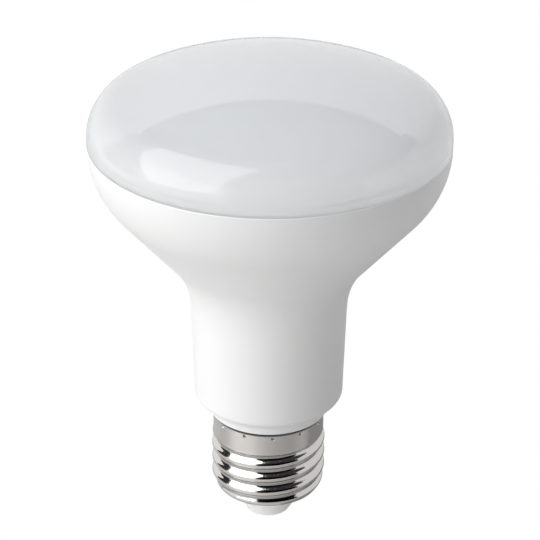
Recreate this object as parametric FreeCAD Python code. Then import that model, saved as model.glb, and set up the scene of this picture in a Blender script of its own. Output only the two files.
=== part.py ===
# A reflector lamp of the 80 mm size: an opal front cover on a white moulded housing that flares
# from a slim neck, on a 27 mm screw cap with its insulator and centre contact.
# The origin is the middle of the contact's flat face, and +Z runs up the axis to the cover.
# The lamp is sealed, so its housing is solid inside. All sizes are in millimetres and degrees.
import FreeCAD
import Part
import math
import os

Vector = FreeCAD.Vector
AXIS = Vector(0, 0, 1)
FULL_TURN = 2 * math.pi
TOUCHING = 1e-6

# Centre contact, a nail pressed up into the insulator
contact_radius = 3.1
contact_height = 0.8
contact_edge = 0.25
shank_radius = 1.2
shank_length = 7.4
shank_tip = 0.5

# Insulator, a cup with a cone for a nose
nose_radius = 4.95
nose_height = 7.25
nose_edge = 0.7
cup_height = 3.5
cup_wall = 1.6
cup_floor = 4.4
cup_round = 1.2
boss_radius = 2.6
boss_height = 1.6

# Screw thread of the cap, right-hand, with round crests and roots rolled in thin sheet
thread_diameter = 26.3
thread_depth = 1.1
thread_pitch = 3.629
thread_round = 1.025
thread_start_angle = -122.0
thread_runout = 1.3

# Screw shell: a plain skirt above the thread, and below it a cone that turns in to a flat lip
sheet = 0.3
shell_height = 19.25
skirt_height = 4.5
skirt_setback = 0.35
mouth_setback = 1.3
mouth_angle = 32.0
mouth_blend = 0.8
lip_setback = 3.75

# Dents that lock the skirt to the housing, punched in from outside
dent_count = 12
dent_first_angle = -85.2
dent_edge = 0.1
dent_radius = 0.45
dent_tip_radius = 0.15
dent_depth = 0.4
dent_skin = 0.15

# Housing, upwards from the spigot that fills the shell. A groove parts the shell from the collar
spigot_lead = 0.8
spigot_step = 0.8
collar_gap = 1.05
groove_depth = 1.1
collar_overhang = 0.8
collar_height = 1.85
collar_edge = 0.15
collar_crease = 3.2
foot_width = 3.45
foot_angle = 55.0
foot_round = 1.8
housing_height = 67.25
neck_draft = 1.7
flare_round = 19.7
bowl_angle = 40.9
bowl_round = 20.5
head_diameter = 80.0
rim_wall = 1.6
rim_band = 0.3
rim_edge = 0.1

# Front cover, upwards from the seam, and its insert below the seam
cover_rise = 17.9
cover_side = 1.5
cover_shoulder = 9.7
cover_wall = 1.6
cover_edge = 0.1
insert_wall = 1.4
insert_depth = 3.0
insert_edge = 0.35
ledge_round = 0.75
bead_radius = 0.35
bead_depth = 1.5

# Clearances: round a sliding fit, at a seat, round the cup and below the insert
slip = 0.1
seat = 0.05
cup_slip = 0.6
bottom_gap = 0.4

# Spline grid of the shell's two skins
skin_columns = 48
skin_row = 0.22


def tan(degrees):
    return math.tan(math.radians(degrees))


def cos(degrees):
    return math.cos(math.radians(degrees))


def sin(degrees):
    return math.sin(math.radians(degrees))


# Heights that follow from the sizes above
shell_bottom = contact_height + nose_height
cup_top = shell_bottom + cup_height
shell_top = shell_bottom + shell_height
thread_top = shell_top - skirt_height
dent_height = shell_top - dent_edge - dent_radius
collar_bottom = shell_top + collar_gap
foot_top = collar_bottom + collar_height + foot_width / tan(foot_angle)
seam = collar_bottom + housing_height
bead_height = seam - bead_depth
insert_bottom = seam - insert_depth
recess_floor = insert_bottom - bottom_gap

# Radii that follow from the sizes above
thread_radius = thread_diameter / 2
bore_under_thread = thread_radius - thread_depth - sheet
skirt_radius = thread_radius - skirt_setback
mouth_radius = thread_radius - mouth_setback
lip_radius = thread_radius - lip_setback
collar_radius = skirt_radius + collar_overhang
neck_foot_radius = collar_radius + foot_width
head_radius = head_diameter / 2
recess_radius = head_radius - rim_wall
insert_radius = recess_radius - slip


def at(radius, height):
    """A point of a section, in the XZ plane."""
    return Vector(radius, 0, height)


def arc(centre, radius, start, end):
    """An arc of a section round centre, between two angles above the +X direction."""
    angles = (start, (start + end) / 2, end)
    return Part.Arc(*[centre + at(cos(a), sin(a)) * radius for a in angles]).toShape()


def rounded(point, before, after, cut):
    """The arc that cuts a corner at an equal distance along the sides before and after it."""
    half = before.getAngle(after) / 2
    start = point - before * (cut / before.Length)
    end = point + after * (cut / after.Length)
    inwards = (start + end - point * 2).normalize()
    return Part.Arc(start, point + inwards * (cut / sin(math.degrees(half)) - cut / math.tan(half)), end)


def outline(points):
    """Edges through (radius, height, corner radius) points, in order and left open. Where two round
    corners need more than the side between them, both get smaller."""
    places = [at(radius, height) for radius, height, _ in points]
    sides = [end - start for start, end in zip(places, places[1:])]
    turns = [before.getAngle(after) for before, after in zip(sides, sides[1:])]
    cuts = [0] + [point[2] * math.tan(turn / 2) for point, turn in zip(points[1:], turns)] + [0]
    room = [side.Length / max(a + b, side.Length) for side, a, b in zip(sides, cuts, cuts[1:])]
    edges = []
    last = places[0]
    for i in range(1, len(places)):
        start = end = places[i]
        corner = None
        if cuts[i] > 0:
            corner = rounded(places[i], sides[i - 1], sides[i], cuts[i] * min(room[i - 1], room[i]))
            start, end = corner.StartPoint, corner.EndPoint
        if (start - last).Length > TOUCHING:
            edges.append(Part.makeLine(last, start))
        if corner:
            edges.append(corner.toShape())
        last = end
    return edges


def turned(edges):
    """The solid that a closed section sweeps round the lamp's axis."""
    section = Part.Face(Part.Wire(Part.sortEdges(edges)[0]))
    return section.revolve(Vector(), AXIS, 360)


def turned_outline(points):
    """The solid that an outline sweeps when its last point is joined to its first."""
    return turned(outline(points + points[:1]))


def make_centre_contact():
    """The nail: a flat head that touches the holder's contact, and a shank with a lead-in."""
    tip = contact_height + shank_length
    return turned_outline(
        [
            (0, 0, 0),
            (contact_radius, 0, contact_edge),
            (contact_radius, contact_height, 0),
            (shank_radius, contact_height, 0),
            (shank_radius, tip - shank_tip, 0),
            (shank_radius - shank_tip, tip, 0),
            (0, tip, 0),
        ]
    )


def make_insulator():
    """The moulded cup that closes the shell's mouth: its shoulder sits on the shell's lip, and its
    cone comes out through the lip."""
    neck = lip_radius - seat
    shoulder = shell_bottom + sheet + seat
    rim = bore_under_thread - cup_slip
    bore = shank_radius + seat
    floor = contact_height + cup_floor
    # inside, the wall is a cone too, parallel to the one outside
    slope = (neck - nose_radius) / nose_height
    inner_foot = nose_radius - cup_wall * math.hypot(1, slope)
    return turned_outline(
        [
            (bore, contact_height, 0),
            (nose_radius, contact_height, nose_edge),
            (neck, shell_bottom, 0),
            (neck, shoulder, 0),
            (rim, shoulder, cup_round),
            (rim, cup_top, 0),
            (inner_foot + slope * (cup_top - contact_height), cup_top, 0),
            (inner_foot + slope * cup_floor, floor, cup_round),
            (boss_radius, floor, 0),
            (boss_radius, floor + boss_height, 0),
            (bore, floor + boss_height, 0),
        ]
    )


def thread_wave(along, offset):
    """Radius of the thread at a distance along the axis from a crest. A skin that lies deeper in the
    sheet by offset has smaller arcs at the crests and larger ones at the roots."""
    half_pitch = thread_pitch / 2
    largest = (half_pitch**2 + thread_depth**2) / (4 * thread_depth)
    curve = min(thread_round, largest)
    crest_centre = thread_radius - curve
    root_centre = thread_radius - thread_depth + curve
    crest_arc = curve - offset
    root_arc = curve + offset
    # the straight flank touches a crest's arc and a root's arc, at this angle from the radius
    reach = math.hypot(half_pitch, root_centre - crest_centre)
    lean = math.acos(min(2 * curve / reach, 1))
    flank = math.atan2(half_pitch, root_centre - crest_centre) - lean
    crest_end = crest_arc * math.sin(flank)
    root_end = half_pitch - root_arc * math.sin(flank)
    along = abs((along + half_pitch) % thread_pitch - half_pitch)
    if along <= crest_end:
        return crest_centre + math.sqrt(crest_arc**2 - along**2)
    if along >= root_end:
        return root_centre - math.sqrt(root_arc**2 - (half_pitch - along) ** 2)
    high = crest_centre + crest_arc * math.cos(flank)
    low = root_centre - root_arc * math.cos(flank)
    return high + (low - high) * (along - crest_end) / (root_end - crest_end)


def smooth_step(share):
    share = min(max(share, 0), 1)
    return share * share * (3 - 2 * share)


def smooth_minimum(a, b, width):
    near = max(width - abs(a - b), 0) / width
    return min(a, b) - near * near * width / 4


def skin_radius(height, angle, offset):
    """Radius of the shell: plain skirt, thread that runs out at both ends, and cone at its mouth."""
    crest_height = thread_top + thread_pitch * (angle - thread_start_angle) / 360
    plain = skirt_radius - offset
    rolled = thread_wave(height - crest_height, offset)
    above = smooth_step((thread_top - height) / thread_runout)
    below = smooth_step((height - shell_bottom) / thread_runout)
    side = plain + (rolled - plain) * above * below
    cone = mouth_radius - offset / cos(mouth_angle) + (height - shell_bottom) * tan(mouth_angle)
    return smooth_minimum(side, cone, mouth_blend)


def skin(offset):
    """One skin of the screw shell, from the lip's edge outwards and then up to the rim. It is a cubic
    spline surface that closes on itself round the axis, and that rounds the corner at the mouth."""
    bottom = shell_bottom + offset
    lip = skin_radius(bottom, 0, offset) - lip_radius
    length = lip + shell_top - bottom
    spans = math.ceil(length / skin_row)
    # a spline round a ring of poles lies inside them by this factor
    shrink = (2 + math.cos(FULL_TURN / skin_columns)) / 3
    poles = []
    for column in range(skin_columns):
        angle = 360 * column / skin_columns
        line = []
        for row in range(spans + 3):
            # a pole acts at the mean of its three knots, which crowd together at the ends
            knots = [min(max(row - k, 0), spans) for k in range(3)]
            along = length * sum(knots) / (3 * spans)
            height = bottom + max(along - lip, 0)
            radius = min(lip_radius + along, skin_radius(height, angle, offset)) / shrink
            line.append(Vector(radius * cos(angle), radius * sin(angle), height))
        poles.append(line)
    surface = Part.BSplineSurface()
    around_knots = list(range(skin_columns + 1))
    up_knots = list(range(spans + 1))
    around_counts = [1] * len(around_knots)
    up_counts = [4] + [1] * (spans - 1) + [4]
    surface.buildFromPolesMultsKnots(
        poles, around_counts, up_counts, around_knots, up_knots, True, False, 3, 3
    )
    return surface.toShape()


def rims(face):
    """The closed edges at a skin's two ends, the lower one first."""
    return sorted([e for e in face.Edges if e.isClosed()], key=lambda e: e.BoundBox.ZMin)


def dent_angles():
    return [dent_first_angle + 360 * i / dent_count for i in range(dent_count)]


def punch(angle, start, end, grow):
    """A cone between two radii of the lamp, that points at its axis at the height of the dents. It is
    as wide as a dent, or wider all over by grow."""
    outwards = Vector(cos(angle), sin(angle), 0)
    taper = (dent_radius - dent_tip_radius) / dent_depth
    wide = dent_radius + grow + taper * (start - skirt_radius)
    narrow = dent_radius + grow + taper * (end - skirt_radius)
    place = outwards * start + AXIS * dent_height
    return Part.makeCone(wide, narrow, start - end, place, outwards * -1)


def make_screw_shell():
    """The rolled shell: two skins joined by a ring at the lip and one at the rim, then the dents."""
    outside = skin(0)
    inside = skin(sheet)
    ends = [Part.makeRuledSurface(outer, inner) for outer, inner in zip(rims(outside), rims(inside))]
    skins = Part.makeShell([outside, inside] + ends)
    skins.sewShape()
    dent_floor = skirt_radius - dent_depth
    bumps = [punch(a, skirt_radius - sheet / 2, dent_floor - sheet, dent_skin) for a in dent_angles()]
    pits = [punch(a, skirt_radius + dent_depth, dent_floor, 0) for a in dent_angles()]
    return Part.Solid(skins).fuse(bumps).cut(pits)


def neck_radius(height):
    """Radius of the drafted neck, which widens upwards from the foot."""
    return neck_foot_radius + (height - foot_top) * tan(neck_draft)


def make_housing():
    """The white moulding: spigot, collar, foot, drafted neck, flare, bowl and the cover's recess."""
    spigot = bore_under_thread - slip
    head = skirt_radius - sheet - seat
    # the bowl's arc begins under the rim's band and ends on the cone, which runs down to the neck
    cone_top = seam - rim_band - bowl_round * tan(bowl_angle / 2)
    cone_fall = (head_radius - neck_radius(cone_top)) / (tan(bowl_angle) - tan(neck_draft))
    cone_bottom = cone_top - cone_fall
    solid = turned_outline(
        [
            (0, cup_top, 0),
            (spigot - spigot_lead, cup_top, 0),
            (spigot, cup_top + spigot_lead, 0),
            (spigot, thread_top, 0),
            (head, thread_top + spigot_step, 0),
            (head, shell_top, 0),
            (head - groove_depth, shell_top, 0),
            (head - groove_depth, collar_bottom, 0),
            (collar_radius, collar_bottom, collar_edge),
            (collar_radius, collar_bottom + collar_height, collar_crease),
            (neck_foot_radius, foot_top, foot_round),
            (neck_radius(cone_bottom), cone_bottom, flare_round),
            (head_radius, cone_top, bowl_round),
            (head_radius, seam, rim_edge),
            (recess_radius, seam, 0),
            (recess_radius, recess_floor, 0),
            (0, recess_floor, 0),
        ]
    )
    groove = Part.makeTorus(insert_radius, bead_radius + slip, at(0, bead_height), AXIS)
    pocket_floor = skirt_radius - dent_depth - sheet - slip
    pockets = [punch(a, skirt_radius - sheet, pocket_floor, dent_skin + slip) for a in dent_angles()]
    return solid.cut([groove] + pockets)


def make_front_cover():
    """The opal cover: a shallow dome with round shoulders, and an insert that snaps into the rim."""
    top = seam + cover_rise
    side_top = seam + cover_side
    inner_side = head_radius - cover_wall
    insert_inner = insert_radius - insert_wall
    # the dome's arc is tangent to the shoulder's and level on the axis
    shoulder = at(head_radius - cover_shoulder, side_top)
    reach = cover_rise - cover_side
    dome_round = (shoulder.x**2 + reach**2 - cover_shoulder**2) / (2 * (reach - cover_shoulder))
    dome = at(0, top - dome_round)
    join = math.degrees(math.atan2(shoulder.z - dome.z, shoulder.x))
    edges = [
        arc(shoulder, cover_shoulder, 0, join),
        arc(dome, dome_round, join, 90),
        Part.makeLine(at(0, top), at(0, top - cover_wall)),
        arc(dome, dome_round - cover_wall, join, 90),
        arc(shoulder, cover_shoulder - cover_wall, 0, join),
    ]
    edges += outline(
        [
            (inner_side, side_top, 0),
            (insert_inner, side_top, ledge_round),
            (insert_inner, insert_bottom, 0),
            (insert_radius, insert_bottom, insert_edge),
            (insert_radius, seam, 0),
            (head_radius, seam, cover_edge),
            (head_radius, side_top, 0),
        ]
    )
    bead = Part.makeTorus(insert_radius, bead_radius, at(0, bead_height), AXIS)
    return turned(edges).fuse(bead).removeSplitter()


def main():
    os.makedirs("parts", exist_ok=True)
    makers = {
        "centre_contact": make_centre_contact,
        "insulator": make_insulator,
        "screw_shell": make_screw_shell,
        "housing": make_housing,
        "front_cover": make_front_cover,
    }
    for node, make in makers.items():
        shape = make()
        print(node, "valid", shape.isValid(), "solids", len(shape.Solids), "mm3", round(shape.Volume, 1))
        shape.exportStep(f"parts/{node}.step")


main()
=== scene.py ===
# %% [markdown]
# # A reflector lamp, from its solids to a studio picture
#
# The lamp is a sealed bulb with a wide head: an opal cover, a white moulded housing with a slim
# neck, and a screw cap of rolled sheet metal. The solids already have their real shapes and sizes.
# What is left to do here is what a finisher and a photographer would do: give each surface its
# stuff and polish, and then put the lamp in a white studio whose soft boxes draw its curves.
#
# First come the tools, and the frame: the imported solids, which stay exactly where they are.

# %% Load the solids
import math

import bpy
from mathutils import Matrix, Vector


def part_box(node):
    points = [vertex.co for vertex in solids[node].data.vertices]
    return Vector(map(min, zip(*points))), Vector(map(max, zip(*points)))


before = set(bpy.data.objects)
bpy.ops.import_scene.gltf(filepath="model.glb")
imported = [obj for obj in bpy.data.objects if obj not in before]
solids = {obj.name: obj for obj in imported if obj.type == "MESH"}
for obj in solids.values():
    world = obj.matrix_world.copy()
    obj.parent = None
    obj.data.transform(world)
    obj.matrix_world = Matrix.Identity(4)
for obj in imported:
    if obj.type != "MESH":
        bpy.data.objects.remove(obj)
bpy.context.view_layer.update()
print("solids:", ", ".join(sorted(solids)))

# %% [markdown]
# ## Measures of the lamp
#
# A finish often changes with height: the cap's skirt is satin and its thread is bright. Such
# heights could be typed in, but then a finish would stay behind when the solids change. So they
# are read off the solids.

# %% Heights and radii
MM = 0.001
cap_low, cap_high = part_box("screw_shell")
cover_low, cover_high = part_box("front_cover")
housing_low, housing_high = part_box("housing")
shell_top = cap_high.z
thread_radius = cap_high.x
seam = housing_high.z
print(f"screw shell from {cap_low.z / MM:.1f} to {shell_top / MM:.1f} mm high")
print(f"thread {2 * thread_radius / MM:.1f} mm across its crests")
print(f"housing from {housing_low.z / MM:.1f} mm up to the seam at {seam / MM:.1f} mm")
print(f"cover from {cover_low.z / MM:.1f} to {cover_high.z / MM:.1f} mm")

# %% [markdown]
# ## Materials written as sums
#
# A material in Blender is a net of nodes. Wiring each node by hand hides what is calculated, so a
# small class stands for one output socket, and `+`, `-` and `*` on it add Math nodes. Everything
# else, such as a noise or a mix of colours, comes from one method that takes the node's type, its
# settings and what goes into its sockets.


# %% Sockets that can be calculated with
class Signal:
    """One output socket of a net of nodes, which can be used in sums."""

    def __init__(self, net, socket):
        self.net = net
        self.socket = socket

    def math(self, operation, *values):
        return self.net.node("ShaderNodeMath", {"operation": operation}, dict(enumerate(values)))

    def __add__(self, other):
        return self.math("ADD", self, other)

    def __sub__(self, other):
        return self.math("SUBTRACT", self, other)

    def __rsub__(self, other):
        return self.math("SUBTRACT", other, self)

    def __mul__(self, other):
        return self.math("MULTIPLY", self, other)

    def __abs__(self):
        return self.math("ABSOLUTE", self)

    __radd__ = __add__
    __rmul__ = __mul__


# %% Nets of nodes
class Net:
    """The nodes of a material, a light or the world, with the main node already in place."""

    def __init__(self, owner, main):
        owner.use_nodes = True
        self.tree = owner.node_tree
        self.main = self.tree.nodes[main]

    def node(self, kind, settings=None, sockets=None, output=0):
        """Adds a node, sets it up, fills its sockets and returns one of its outputs."""
        made = self.tree.nodes.new(kind)
        for name, value in (settings or {}).items():
            setattr(made, name, value)
        for key, value in (sockets or {}).items():
            self.put(made.inputs[key], value)
        return Signal(self, made.outputs[output])

    def put(self, socket, value):
        if isinstance(value, Signal):
            self.tree.links.new(value.socket, socket)
        else:
            socket.default_value = value

    def set(self, **values):
        """Sets the main node's sockets: base_color= goes to Base Color."""
        for name, value in values.items():
            key = name.replace("_", " ").title().replace("Ior", "IOR")
            self.put(self.main.inputs[key], value)

    def fade(self, value, low, high, start=0.0, end=1.0):
        """Turns low to high of a value into start to end, with soft ends."""
        settings = {"interpolation_type": "SMOOTHSTEP"}
        sockets = {"Value": value, "From Min": low, "From Max": high, "To Min": start, "To Max": end}
        return self.node("ShaderNodeMapRange", settings, sockets, output="Result")


# %% Finishes
class Finish(Net):
    """A material under construction."""

    def __init__(self, name):
        self.material = bpy.data.materials.new(name)
        super().__init__(self.material, "Principled BSDF")

    def place(self):
        """Where a point of the surface is, in metres, in the lamp's own frame."""
        return self.node("ShaderNodeTexCoord", output="Object")

    def height(self):
        return self.node("ShaderNodeSeparateXYZ", sockets={"Vector": self.place()}, output="Z")

    def stretched(self, x, y, z):
        """The same place, stretched so that a pattern on it is x, y and z times as fine."""
        settings = {"operation": "MULTIPLY"}
        return self.node("ShaderNodeVectorMath", settings, {0: self.place(), 1: (x, y, z)})

    def radius(self):
        """How far a point of the surface is from the lamp's axis."""
        sockets = {"Vector": self.stretched(1.0, 1.0, 0.0)}
        return self.node("ShaderNodeVectorMath", {"operation": "LENGTH"}, sockets, output="Value")

    def noise(self, scale, detail, at=None):
        """A cloudy value from 0 to 1 that repeats about scale times in a metre."""
        sockets = {"Vector": at or self.place(), "Scale": scale, "Detail": detail}
        return self.node("ShaderNodeTexNoise", sockets=sockets, output="Fac")

    def spread(self, noise, low, high):
        """Turns a noise, which keeps mostly between 0.2 and 0.8, into low to high."""
        return self.fade(noise, 0.2, 0.8, low, high)

    def mix(self, share, first, second):
        """A colour that goes from first to second as share goes from 0 to 1."""
        # in a Mix node, inputs 6 and 7 and output 2 are the ones for colours
        settings = {"data_type": "RGBA"}
        return self.node("ShaderNodeMix", settings, {0: share, 6: first, 7: second}, output=2)

    def bump(self, value, depth):
        """A surface normal for a relief of so many metres."""
        return self.node("ShaderNodeBump", sockets={"Strength": 1.0, "Distance": depth, "Height": value})

    def apply_to(self, *nodes):
        """Puts this finish on solids, in place of the plain one that they come with."""
        for node in nodes:
            for slot in solids[node].material_slots:
                slot.material = self.material
        print(self.material.name, "on", ", ".join(nodes))


def grey(level):
    return (level, level, level, 1.0)


# %% [markdown]
# ## The opal cover
#
# The cover is milky plastic with a polished face. Light goes into it, scatters, and comes back out
# or goes through, which evens out its shading, and its polish mirrors the studio. White paint would
# look too hard for it, and a real cloud of particles in its wall would take long to render. So it
# gets a smooth shader with scatter below the surface, over more than its wall's thickness. A real
# moulding isn't quite even: a very shallow waviness bends the reflections, and the milkiness
# varies a little.
#
# Inside a real head the light goes round many times and comes out evenly, also where the shoulder
# turns away from the lamps. The render gives up on such long ways, so light is painted in: the
# shoulder's colour is painted lighter towards the seam, and it gets a faint painted glow, though it
# is no lamp. Its thin bottom edge at the seam, where light leaks out, gets a little more painted glow.

# %% Opal finish
OPAL = (0.68, 0.715, 0.75, 1.0)
OPAL_DEEP = (0.655, 0.70, 0.74, 1.0)
# painted light: a lighter colour and a glow on the shoulder, and more glow at the seam's edge
OPAL_PAINTED_SHOULDER_LIGHT = (0.76, 0.77, 0.78, 1.0)
SHOULDER_PAINTED_GLOW = 0.09
EDGE_PAINTED_GLOW = 0.16
SHOULDER_HEIGHT = 13.0 * MM
# above the seam, the edge's painted glow is whole up to the first height and gone at the second
EDGE_WHOLE = 0.2 * MM
EDGE_END = 0.5 * MM
SCATTER_LENGTH = 20.0 * MM
MILK_CLOUDS = 45.0
MOULD_WAVES = 28.0
WAVE_DEPTH = 0.04 * MM


def opal_finish():
    finish = Finish("opal_cover")
    clouds = finish.noise(MILK_CLOUDS, detail=3.0)
    wave = finish.noise(MOULD_WAVES, detail=1.0)
    height = finish.height()
    # shares of the painted light and glow, whole at the seam
    painted_shoulder_share = finish.fade(height, seam, seam + SHOULDER_HEIGHT, 1.0, 0.0)
    edge = finish.fade(height, seam + EDGE_WHOLE, seam + EDGE_END, 1.0, 0.0)
    milk = finish.mix(clouds, OPAL_DEEP, OPAL)
    painted_shoulder_glow = finish.mix(painted_shoulder_share, grey(0.0), grey(SHOULDER_PAINTED_GLOW))
    finish.set(
        base_color=finish.mix(painted_shoulder_share, milk, OPAL_PAINTED_SHOULDER_LIGHT),
        emission_color=finish.mix(edge, painted_shoulder_glow, grey(EDGE_PAINTED_GLOW)),
        emission_strength=1.0,
        roughness=finish.spread(clouds, 0.02, 0.035),
        ior=1.5,
        subsurface_weight=1.0,
        subsurface_radius=(1.0, 1.0, 1.0),
        subsurface_scale=SCATTER_LENGTH,
        normal=finish.bump(wave, WAVE_DEPTH),
    )
    return finish


opal_finish().apply_to("front_cover")

# %% [markdown]
# ## The white housing
#
# The housing is white plastic from a mould with a fine eroded texture, so it is satin: its
# highlights are broad and soft. A photo of such a texture could be laid on it, but noise needs no
# unwrapping and stays as fine all over. Two sizes of it do: one for the grain, one for the slow
# unevenness of the moulding.
#
# The rim at the seam is thin and catches light from both sides, so it is painted a little whiter: a
# painted highlight. The groove under the collar is a deep slit that hardly any light gets out of, so
# its shade is painted in: it is painted dark.

# %% Satin white finish
WHITE = (0.83, 0.83, 0.825, 1.0)
WHITE_SHADE = grey(0.81)
# painted highlight on the rim at the seam, and painted shade in the groove under the collar
WHITE_RIM_PAINTED_HIGHLIGHT = grey(0.94)
GROOVE_PAINTED_SHADE = grey(0.1)
# below the seam, the rim's painted highlight starts and is whole
RIM_START = 0.3 * MM
RIM_WHOLE = 0.1 * MM
# above the shell's top, the groove's painted shade is whole up to the first height and gone at the
# second
GROOVE_WHOLE = 0.3 * MM
GROOVE_END = 0.4 * MM
MOULD_GRAIN = 2600.0
MOULD_CLOUDS = 60.0
GRAIN_DEPTH = 0.006 * MM


def white_finish():
    finish = Finish("white_body")
    grain = finish.noise(MOULD_GRAIN, detail=2.0)
    clouds = finish.noise(MOULD_CLOUDS, detail=2.0)
    height = finish.height()
    # shares of the rim's painted highlight and of the groove's painted shade
    painted_rim_highlight = finish.fade(height, seam - RIM_START, seam - RIM_WHOLE)
    painted_groove_shade = finish.fade(height, shell_top + GROOVE_WHOLE, shell_top + GROOVE_END, 1.0, 0.0)
    moulding = finish.mix(painted_rim_highlight, finish.mix(clouds, WHITE_SHADE, WHITE), WHITE_RIM_PAINTED_HIGHLIGHT)
    finish.set(
        base_color=finish.mix(painted_groove_shade, moulding, GROOVE_PAINTED_SHADE),
        roughness=finish.spread(clouds, 0.40, 0.48),
        ior=1.47,
        normal=finish.bump(grain, GRAIN_DEPTH),
    )
    return finish


white_finish().apply_to("housing")

# %% [markdown]
# ## The nickel-plated cap
#
# The shell is rolled from bright sheet. Rolling polishes the thread, while the plain skirt above it
# keeps the satin of the sheet, with its grain in rings round the axis. Two materials could meet at
# the end of the thread, but both are one metal. So one finish does for both, and its roughness
# falls from the skirt to the thread. The roots between the crests are painted darker: a painted
# shade for the shade that falls deep between the crests.

# %% Nickel finish
NICKEL = (0.69, 0.67, 0.65, 1.0)
NICKEL_SATIN = (0.67, 0.645, 0.62, 1.0)
# painted shade in the roots between the crests
NICKEL_ROOT_PAINTED_SHADE = (0.32, 0.31, 0.30, 1.0)
THREAD_DEPTH = 1.1 * MM
ROOT_WIDTH = 0.08 * MM
# below the shell's top, the skirt's satin starts and is whole
SKIRT_START = 5.4 * MM
SKIRT_WHOLE = 4.2 * MM
SHEET_GRAIN = 900.0
RING_FINENESS = 14.0
POLISH_PATCHES = 160.0
SHEET_GRAIN_DEPTH = 0.004 * MM


def nickel_finish():
    finish = Finish("nickel_plate")
    skirt = finish.fade(finish.height(), shell_top - SKIRT_START, shell_top - SKIRT_WHOLE)
    grain = finish.noise(SHEET_GRAIN, detail=3.0, at=finish.stretched(1.0, 1.0, RING_FINENESS))
    patches = finish.noise(POLISH_PATCHES, detail=2.0)
    root_radius = thread_radius - THREAD_DEPTH
    # share of the roots' painted shade
    painted_root_shade = finish.fade(finish.radius(), root_radius, root_radius + ROOT_WIDTH, 1.0, 0.0)
    thread = finish.mix(painted_root_shade * (1.0 - skirt), NICKEL, NICKEL_ROOT_PAINTED_SHADE)
    finish.set(
        base_color=finish.mix(skirt, thread, NICKEL_SATIN),
        metallic=1.0,
        roughness=0.08 + patches * 0.04 + skirt * (0.10 + grain * 0.08),
        normal=finish.bump(grain * skirt, SHEET_GRAIN_DEPTH),
    )
    return finish


nickel_finish().apply_to("screw_shell")

# %% [markdown]
# ## Insulator and contact
#
# The foot of the cap is a pale moulded insulator that light goes a little way into, with a plated
# contact in its middle. Fingers and lampholders rub the contact, so fine scratches break up its
# gloss. They are too fine to be modelled, and noise in the roughness and the normal does for them.

# %% Insulator and contact finishes
PALE = grey(0.96)
PALE_DARK = grey(0.94)
PALE_CLOUDS = 300.0
PALE_SCATTER = 2.0 * MM
CONTACT = (0.72, 0.70, 0.67, 1.0)
SCRATCHES = 1500.0
SCRATCH_DEPTH = 0.005 * MM


def insulator_finish():
    finish = Finish("pale_insulator")
    clouds = finish.noise(PALE_CLOUDS, detail=3.0)
    finish.set(
        base_color=finish.mix(clouds, PALE_DARK, PALE),
        roughness=finish.spread(clouds, 0.18, 0.3),
        ior=1.5,
        subsurface_weight=1.0,
        subsurface_radius=(1.0, 1.0, 1.0),
        subsurface_scale=PALE_SCATTER,
    )
    return finish


def contact_finish():
    finish = Finish("contact_metal")
    scratches = finish.noise(SCRATCHES, detail=3.0)
    finish.set(
        base_color=CONTACT,
        metallic=1.0,
        roughness=finish.spread(scratches, 0.18, 0.36),
        normal=finish.bump(scratches, SCRATCH_DEPTH),
    )
    return finish


insulator_finish().apply_to("insulator")
contact_finish().apply_to("centre_contact")

# %% [markdown]
# ## Camera
#
# The lamp was photographed from a little above with a long lens, so its outline hardly tapers. A
# camera could be turned by eye until it looks right. This one's place, tilt and lens were worked
# out from the outline of the head's rim and of the cap, so that the two pictures lie on each other.

# %% Camera
PICTURE_PIXELS = 540
FOCAL_PIXELS = 2216.3
AXIS_PIXEL = 269.23
SENSOR_WIDTH = 36.0
CAMERA_PLACE = Vector((0.0, -0.4434, 0.2917))
LOOK_DOWN = 27.236
ROLL = 0.31

camera_data = bpy.data.cameras.new("camera")
camera = bpy.data.objects.new("camera", camera_data)
bpy.context.scene.collection.objects.link(camera)
bpy.context.scene.camera = camera
camera_data.sensor_width = SENSOR_WIDTH
camera_data.lens = FOCAL_PIXELS / PICTURE_PIXELS * SENSOR_WIDTH
camera_data.shift_x = 0.5 - AXIS_PIXEL / PICTURE_PIXELS
camera.matrix_world = (
    Matrix.Translation(CAMERA_PLACE)
    @ Matrix.Rotation(math.radians(90 - LOOK_DOWN), 4, "X")
    @ Matrix.Rotation(math.radians(ROLL), 4, "Z")
)
print(f"lens {camera_data.lens:.1f} mm, {CAMERA_PLACE.length:.3f} m away")

# %% [markdown]
# ## Boards of the studio
#
# Polished metal has hardly a look of its own: it shows the room. A ready-made picture of a room
# would do for that, but then nobody could tell what draws which streak. So the room is built as a
# photographer would build it. All round it is white, which is also the background. Black flags
# close off the ceiling, the side of the camera and a part of the left, and draw the dark streaks
# that make metal look like metal. A small reflector stands close by on the right, with a grey flag
# under it that keeps the floor's light off the lamp. That flag is also a painted shadow: the cap
# mirrors it where it would mirror the lamp's own shadow on a table. The lamp is made to hang in a
# holder, so the floor lies well below it.
#
# Every board is a flat panel between two opposite corners. The camera doesn't see them, but
# reflections and shadows do.


# %% Paint, glow and boards
def paint(name, shade, roughness=0.9, ior=1.4):
    """Studio paint of one grey, matt unless it is given less roughness."""
    finish = Finish(name)
    finish.set(base_color=grey(shade), roughness=roughness, ior=ior)
    return finish.material


def glow(name, strength):
    """A board that sends out an even light, where 1 is white."""
    finish = Finish(name)
    finish.set(base_color=grey(0.0), specular_ior_level=0.0)
    finish.set(emission_color=grey(1.0), emission_strength=strength)
    return finish.material


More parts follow.
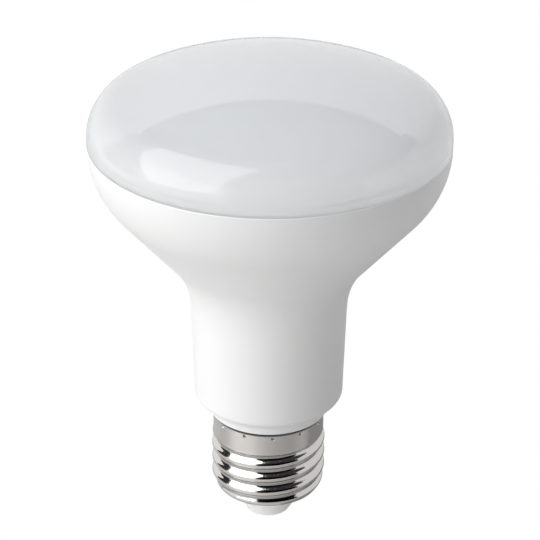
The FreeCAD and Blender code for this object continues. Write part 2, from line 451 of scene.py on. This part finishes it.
def board(name, low, high, material):
    """A flat panel between two opposite corners, which agree in one coordinate."""
    low, high = Vector(low), Vector(high)
    flat = min(range(3), key=lambda axis: abs(high[axis] - low[axis]))
    across, along = [axis for axis in range(3) if axis != flat]
    corners = []
    for a, b in ((low, low), (high, low), (high, high), (low, high)):
        corner = low.copy()
        corner[across] = a[across]
        corner[along] = b[along]
        corners.append(corner)
    mesh = bpy.data.meshes.new(name)
    mesh.from_pydata(corners, [], [(0, 1, 2, 3)])
    mesh.materials.append(material)
    made = bpy.data.objects.new(name, mesh)
    bpy.context.scene.collection.objects.link(made)
    made.visible_camera = False
    print(f"{name}: {(high - low)[across]:.2f} by {(high - low)[along]:.2f} m")
    return made


# %% The room
FLOOR = -0.45
CEILING = 2.2
FLAG_FOOT = -0.2
FRONT = -2.0
LEFT = -2.2
RIGHT = 0.15
LOW_FLAG = -0.03

black = paint("flag_black", 0.004, ior=1.0)
board("floor", (-1.9, -1.7, FLOOR), (2.2, 3.0, FLOOR), paint("floor_white", 0.8, 0.3, 1.9))
# a grey flag that keeps the floor's light off the lamp, and a painted shadow that the cap mirrors
board("low_flag_painted_shadow", (0.01, -0.01, LOW_FLAG), (0.2, 0.17, LOW_FLAG), paint("flag_dark_painted_shadow", 0.36))
board("ceiling_flag", (-3.0, -3.0, CEILING), (4.0, 2.0, CEILING), paint("flag_ceiling", 0.06))
board("front_flag", (-0.93, FRONT, FLAG_FOOT), (3.1, FRONT, CEILING), black)
board("left_flag", (LEFT, -0.05, FLAG_FOOT), (LEFT, 1.15, CEILING), paint("flag_grey", 0.05, ior=1.0))
board("reflector", (RIGHT, -0.1, -0.02), (RIGHT, 0.2, 0.17), glow("reflector_white", 0.82))

# %% [markdown]
# ## Lights of the studio
#
# A large soft box at the upper left is the main light, and it is what the cover and the thread
# mirror as their brightest patch. Real soft boxes fade out at the edge of their cloth, so this one
# does too. A weaker light near the camera fills the shadows. It isn't mirrored, because the
# photographer's fill comes from all over the room and has no shape of its own.
#
# The third light is a stand-in for light that has gone round inside the head. It is faint and
# round, lies just below the seam, and shines up into the cover.


# %% Soft boxes
lamp_middle = Vector((0.0, 0.0, 0.06))


def soft_edges(light, edge):
    """Lets a rectangular light fall off over its outermost stretch, as a real soft box does."""
    net = Net(light, "Emission")
    spot = net.node("ShaderNodeNewGeometry", output="Parametric")
    power = 1.0
    for axis, size in (("X", light.size), ("Y", light.size_y)):
        share = net.node("ShaderNodeSeparateXYZ", sockets={"Vector": spot}, output=axis)
        power = net.fade(0.5 - abs(share - 0.5), 0.0, edge / size) * power
    net.set(strength=power)


def flat_light(name, shape, width, height, power):
    """A flat light, with its power in watts."""
    data = bpy.data.lights.new(name, "AREA")
    data.shape = shape
    data.size = width
    data.size_y = height
    data.energy = power
    made = bpy.data.objects.new(name, data)
    bpy.context.scene.collection.objects.link(made)
    print(f"{name}: {width:.3f} by {height:.3f} m, {power:.4f} W")
    return made


def soft_box(name, way, width, height, brightness, distance=1.4, turn=0.0):
    """A rectangular light that faces the lamp from a direction, brightness times as bright as
    white. Its turn is in degrees, about its own axis."""
    # a flat light's brightness is its power over its area and over pi
    made = flat_light(name, "RECTANGLE", width, height, brightness * math.pi * width * height)
    place = lamp_middle + Vector(way).normalized() * distance
    aim = (lamp_middle - place).to_track_quat("-Z", "Y").to_matrix().to_4x4()
    made.matrix_world = Matrix.Translation(place) @ aim @ Matrix.Rotation(math.radians(turn), 4, "Z")
    return made


key = soft_box("key", (-0.68, -0.32, 0.66), width=1.44, height=2.13, brightness=2.32, turn=18.7)
soft_edges(key.data, edge=0.06)
fill = soft_box("fill", (-0.45, -0.87, 0.17), width=1.2, height=1.2, brightness=1.0)
fill.visible_glossy = False

# %% The light inside the head
INNER_WIDTH = 64.0 * MM
INNER_POWER = 0.00502
INNER_PLACE = Vector((1.5 * MM, -5.0 * MM, seam - 2.0 * MM))

inner = flat_light("glow_inside", "ELLIPSE", INNER_WIDTH, INNER_WIDTH, INNER_POWER)
# a flat light shines along its own -Z, so half a turn about X points it up
inner.matrix_world = Matrix.Translation(INNER_PLACE) @ Matrix.Rotation(math.pi, 4, "X")
inner.visible_glossy = False

# %% White room
world = bpy.data.worlds.new("studio")
bpy.context.scene.world = world
Net(world, "Background").set(color=grey(1.0), strength=1.0)
bpy.context.scene.view_settings.view_transform = "Standard"
print("world:", world.name, "view:", bpy.context.scene.view_settings.view_transform)
